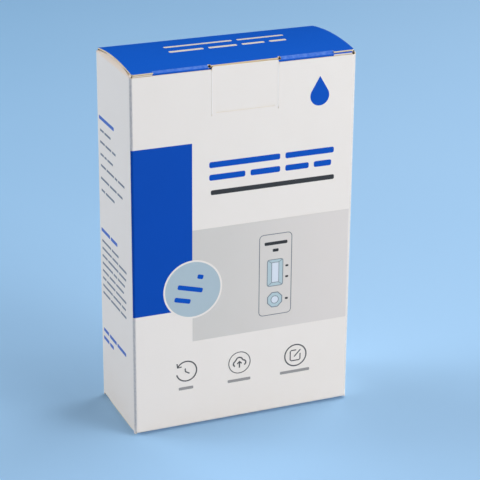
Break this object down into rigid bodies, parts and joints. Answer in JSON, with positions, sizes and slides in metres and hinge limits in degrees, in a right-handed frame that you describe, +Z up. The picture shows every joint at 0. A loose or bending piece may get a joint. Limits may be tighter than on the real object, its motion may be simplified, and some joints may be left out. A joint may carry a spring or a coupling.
{
  "type": "folding carton",
  "caption": "Upright tuck-end folding carton of coated paperboard, with a bowed top lid, a slit lock tab, dust flaps and a tuck-in base lid.",
  "frame": {"origin": "middle of the base, on the surface that the carton stands on", "axes": "+Z up, +X to the right across the front, +Y from the front to the back"},
  "size_m": [0.081, 0.035, 0.1322],
  "materials": {
    "white_board": "satin coated paperboard, white, printed",
    "blue_board": "satin coated paperboard, printed blue",
    "base_board": "satin coated paperboard, white"
  },
  "bodies": {
    "carton": {"carton_body": "white_board"},
    "top_lid": {"lid": "blue_board"},
    "bottom_lid": {"base_lid": "base_board"}
  },
  "joints": [
    {"name": "lid_hinge", "type": "hinge", "parent": "carton", "child": "top_lid", "pos_m": [0, 0.0175, 0.1298], "axis": [-1, 0, 0], "range_deg": [0, 180]},
    {"name": "base_lid_hinge", "type": "hinge", "parent": "carton", "child": "bottom_lid", "pos_m": [0, -0.0175, 0.0016], "axis": [-1, 0, 0], "range_deg": [0, 180]}
  ]
}
